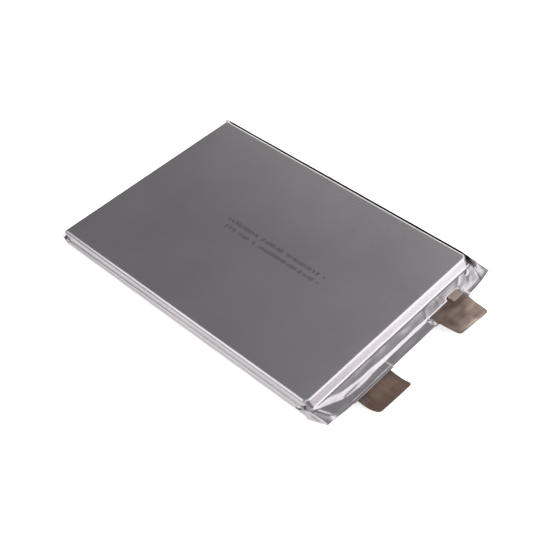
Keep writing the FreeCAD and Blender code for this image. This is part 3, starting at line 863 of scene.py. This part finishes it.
def dark_nickel_material():
    """Oxidised nickel plate of the negative tab: brown grey with streaks along the strip."""
    n = Nodes("negative_tab_metal")
    streak = n.along(n.noise(3.2, 4, stretch=(0.25, 1, 1)), (0.106, 0.117), 0.6)
    patch = n.noise(7, 3)
    grain = n.noise(0.25, 2, stretch=(0.3, 1, 1))
    colour = n.ramp(streak, [(0.2, (0.045, 0.035, 0.031)), (0.85, (0.165, 0.112, 0.085))])
    rough = n.range(patch, 0.34, 0.5)
    normal = n.bump(grain, 0.006, 0.6, below=n.bump(streak, 0.03, 0.4))
    return n.finish(colour, rough, normal, metallic=0.85)


# Extent of the knurled weld and the heights of its peaks, in metres. The higher points get a painted
# glint: a lighter colour, not rubbed metal.
WELD_X = (0.1004, 0.1052)
WELD_Y = (0.0376, 0.0450)
GLINT_Z = (0.00586, 0.00606)


def pale_nickel_material():
    """Nickel strip of the positive tab: warm grey with wavy rolling bands, and a painted glint on the
    peaks of the knurled weld.
    """
    n = Nodes("positive_strip_metal")
    bands_and_glints = n.along(n.noise(5, 3, stretch=(0.9, 0.35, 1)), (0.100, 0.118), 0.35)
    patch = n.noise(6, 3)
    grain = n.noise(0.25, 2, stretch=(0.3, 1, 1))
    # Painted glint: inside the weld window, the higher a knurl point stands, the lighter its colour. It
    # is added to the rolling bands.
    weld = n.combine("MULTIPLY", n.window("X", *WELD_X), n.window("Y", *WELD_Y))
    painted_glint = n.range(n.axis("Z"), 0.24, 0.68, source=GLINT_Z)
    bands_and_glints = n.combine("ADD", bands_and_glints, n.combine("MULTIPLY", weld, painted_glint))
    colour = n.ramp(bands_and_glints, [
        (0.3, (0.080, 0.056, 0.046)),
        (0.62, (0.15, 0.114, 0.095)),
        (0.8, (0.215, 0.172, 0.145)),
        (1.0, (0.55, 0.48, 0.43)),
    ])
    rough = n.range(patch, 0.30, 0.46)
    normal = n.bump(grain, 0.006, 0.6, below=n.bump(bands_and_glints, 0.06, 0.5))
    return n.finish(colour, rough, normal, metallic=0.85)


def metal_material(name, dark, light, rough=(0.25, 0.4), grain_mm=0.3):
    """Rolled metal foil or strip, with fine rolling lines."""
    n = Nodes(name)
    lines = n.noise(grain_mm, 3, stretch=(0.08, 1, 1))
    cloud = n.noise(14, 2)
    colour = n.ramp(cloud, [(0.3, dark), (0.7, light)])
    roughness = n.range(lines, *rough)
    return n.finish(colour, roughness, n.bump(lines, 0.004, 0.6), metallic=1.0)


def matt_material(name, dark, light, grain_mm=0.12, rough=(0.75, 0.95)):
    """Matt coating with a fine powdery grain."""
    n = Nodes(name)
    powder = n.noise(grain_mm, 3)
    cloud = n.noise(20, 3)
    colour = n.ramp(cloud, [(0.3, dark), (0.7, light)])
    roughness = n.range(powder, *rough)
    return n.finish(colour, roughness, n.bump(powder, 0.02, 0.6))


def film_material(name, dark, light, rough=(0.25, 0.4), grain_mm=1.2):
    """Plastic film or tape with a faint waviness."""
    n = Nodes(name)
    wave = n.noise(grain_mm, 2)
    cloud = n.noise(9, 3)
    colour = n.ramp(cloud, [(0.3, dark), (0.7, light)])
    roughness = n.range(wave, *rough)
    return n.finish(colour, roughness, n.bump(wave, 0.02, 0.4))


def ink_material():
    """Grey ink with worn, uneven cover."""
    n = Nodes("print_ink")
    wear = n.noise(0.5, 3)
    colour = n.ramp(wear, [(0.35, (0.02, 0.02, 0.022)), (0.7, (0.06, 0.058, 0.062))])
    return n.finish(colour, n.range(wear, 0.45, 0.7), n.bump(wear, 0.01, 0.5))


def paint(piece, material):
    """Gives a piece its one material."""
    piece.data.materials.clear()
    piece.data.materials.append(material)


def paint_nodes():
    """Materials of the CAD nodes that stay in view of a cut or a look inside."""
    film = film_material("tab_film", (0.19, 0.175, 0.165), (0.27, 0.25, 0.235))
    weld_tape = film_material("weld_tape", (0.55, 0.42, 0.10), (0.70, 0.55, 0.16))
    stack_tape = film_material("stack_tape", (0.08, 0.22, 0.40), (0.12, 0.30, 0.52))
    copper = metal_material("copper_foil", (0.74, 0.33, 0.20), (0.86, 0.42, 0.27))
    foil = metal_material("aluminium_foil", (0.72, 0.72, 0.73), (0.84, 0.84, 0.85))
    lead = metal_material("aluminium_lead", (0.62, 0.61, 0.61), (0.76, 0.75, 0.75))
    graphite = matt_material("graphite_coating", (0.018, 0.018, 0.020), (0.035, 0.035, 0.038))
    oxide = matt_material("oxide_coating", (0.010, 0.010, 0.011), (0.022, 0.021, 0.021))
    separator = film_material("separator_film", (0.78, 0.78, 0.77), (0.88, 0.88, 0.87), (0.5, 0.7), 0.3)
    looks = {
        "anode_copper_foils": copper,
        "cathode_aluminium_foils": foil,
        "positive_tab_lead": lead,
        "anode_graphite_coatings": graphite,
        "cathode_oxide_coatings": oxide,
        "separator_web": separator,
    }
    for name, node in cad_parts.items():
        if "tab_film" in name:
            paint(node, film)
        elif "weld_tape" in name:
            paint(node, weld_tape)
        elif "stack_tape" in name:
            paint(node, stack_tape)
        elif name in looks:
            paint(node, looks[name])


# ---- stage ----

AIM = Vector((0.008, 0.0, 0.006))
CAMERA_PLACE = Vector((0.2925, -0.28171, 0.40858))
CAMERA_BACK = Vector((0.48888, -0.48742, 0.72348))
CAMERA_ROLL = -3.037
CAMERA_LENS = 66.76
FLOOR_REACH = 4.0
FLOOR_GLOW = 0.55
WORLD_LIGHT = 0.32
WORLD_COLOUR = (0.98, 0.965, 1.0, 1)

# Name, radiance, heading from the cell, distance, two sides, direction of the first side, colour.
LIGHTS = (
    ("key", 2.1, (0.441, 0.551, 0.708), 1.3, (1.84, 1.5), (0.9, -0.324, -0.293), (1.0, 0.965, 0.985)),
    ("back", 2.0, (-0.4, 0.85, 0.35), 1.6, (1.1, 0.8), (1, 0, 0), (1.0, 0.98, 0.95)),
    ("front", 2.1, (-0.49, -0.42, 0.76), 1.5, (0.7, 1.4), (1, 0, 0), (1, 0.98, 0.99)),
    ("side", 1.15, (0.84, 0.48, 0.26), 1.4, (0.9, 0.5), (-0.48, 0.84, 0), (1.0, 0.965, 0.985)),
    ("low", 0.95, (0.12, -0.9, 0.42), 1.5, (2.4, 0.95), (1, 0, 0), (1.0, 0.95, 0.93)),
    ("top", 1.1, (0.1, -0.12, 0.98), 1.5, (1.1, 0.35), (1, -1, 0), (1, 0.98, 0.97)),
    ("fill", 0.9, (0.62, -0.33, 0.71), 1.6, (0.9, 1.4), (1, 0, -0.9), (1, 0.98, 0.95)),
)


def camera():
    """Camera at the photograph's viewing angle, solved from the corners of the face."""
    data = bpy.data.cameras.new("camera")
    data.lens = CAMERA_LENS
    data.sensor_width = 36.0
    data.clip_start, data.clip_end = 0.01, 20
    item = bpy.data.objects.new("camera", data)
    bpy.context.scene.collection.objects.link(item)
    back = CAMERA_BACK.normalized()
    right = Vector((-back.y, back.x, 0)).normalized()
    up = back.cross(right)
    turn = Matrix((right, up, back)).transposed() @ Matrix.Rotation(math.radians(CAMERA_ROLL), 3, "Z")
    item.matrix_world = Matrix.Translation(CAMERA_PLACE) @ turn.to_4x4()
    bpy.context.scene.camera = item


def softbox(name, radiance, heading, distance, size, along, colour):
    """Rectangular light that faces the cell from a heading, its first side laid along a direction."""
    data = bpy.data.lights.new(name, "AREA")
    data.shape = "RECTANGLE"
    data.size, data.size_y = size
    data.energy = radiance * math.pi * size[0] * size[1]
    data.color = colour
    item = bpy.data.objects.new(name, data)
    item.visible_camera = False
    bpy.context.scene.collection.objects.link(item)
    away = Vector(heading).normalized()
    first = (Vector(along) - away * away.dot(Vector(along))).normalized()
    turn = Matrix((first, away.cross(first), away)).transposed()
    item.matrix_world = Matrix.Translation(AIM + away * distance) @ turn.to_4x4()


def floor():
    """Plain pale floor under the cell."""
    mesh = bpy.data.meshes.new("floor")
    corners = [(x * FLOOR_REACH, y * FLOOR_REACH, 0) for x, y in ((-1, -1), (1, -1), (1, 1), (-1, 1))]
    mesh.from_pydata(corners, [], [(0, 1, 2, 3)])
    item = bpy.data.objects.new("floor", mesh)
    bpy.context.scene.collection.objects.link(item)
    n = Nodes("floor")
    cloud = n.noise(180, 2)
    colour = n.ramp(cloud, [(0.3, (0.90, 0.90, 0.90)), (0.7, (0.92, 0.92, 0.92))])
    n.shader.inputs["Emission Color"].default_value = (1, 1, 1, 1)
    n.shader.inputs["Emission Strength"].default_value = FLOOR_GLOW
    paint(item, n.finish(colour, n.range(cloud, 0.8, 0.9), n.bump(cloud, 0.01, 0.1), specular=0.1))


def light_stage():
    """Soft lights all round, which the camera doesn't see, and a pale world."""
    world = bpy.data.worlds.new("studio")
    world.use_nodes = True
    background = world.node_tree.nodes["Background"]
    background.inputs["Color"].default_value = WORLD_COLOUR
    background.inputs["Strength"].default_value = WORLD_LIGHT
    bpy.context.scene.world = world
    for light in LIGHTS:
        softbox(*light)
    bpy.context.scene.view_settings.view_transform = "Standard"


def main():
    """Builds every piece, then the stage round them."""
    laminate = laminate_material()
    paint(pouch_skin("pouch_upper_skin", True, "upper_pouch_half"), laminate)
    paint(pouch_skin("pouch_lower_skin", False, "lower_pouch_half"), laminate)
    paint(negative_tab(), dark_nickel_material())
    paint(positive_tab(), pale_nickel_material())
    paint(print_marks(), ink_material())
    paint_nodes()
    floor()
    light_stage()
    camera()


main()
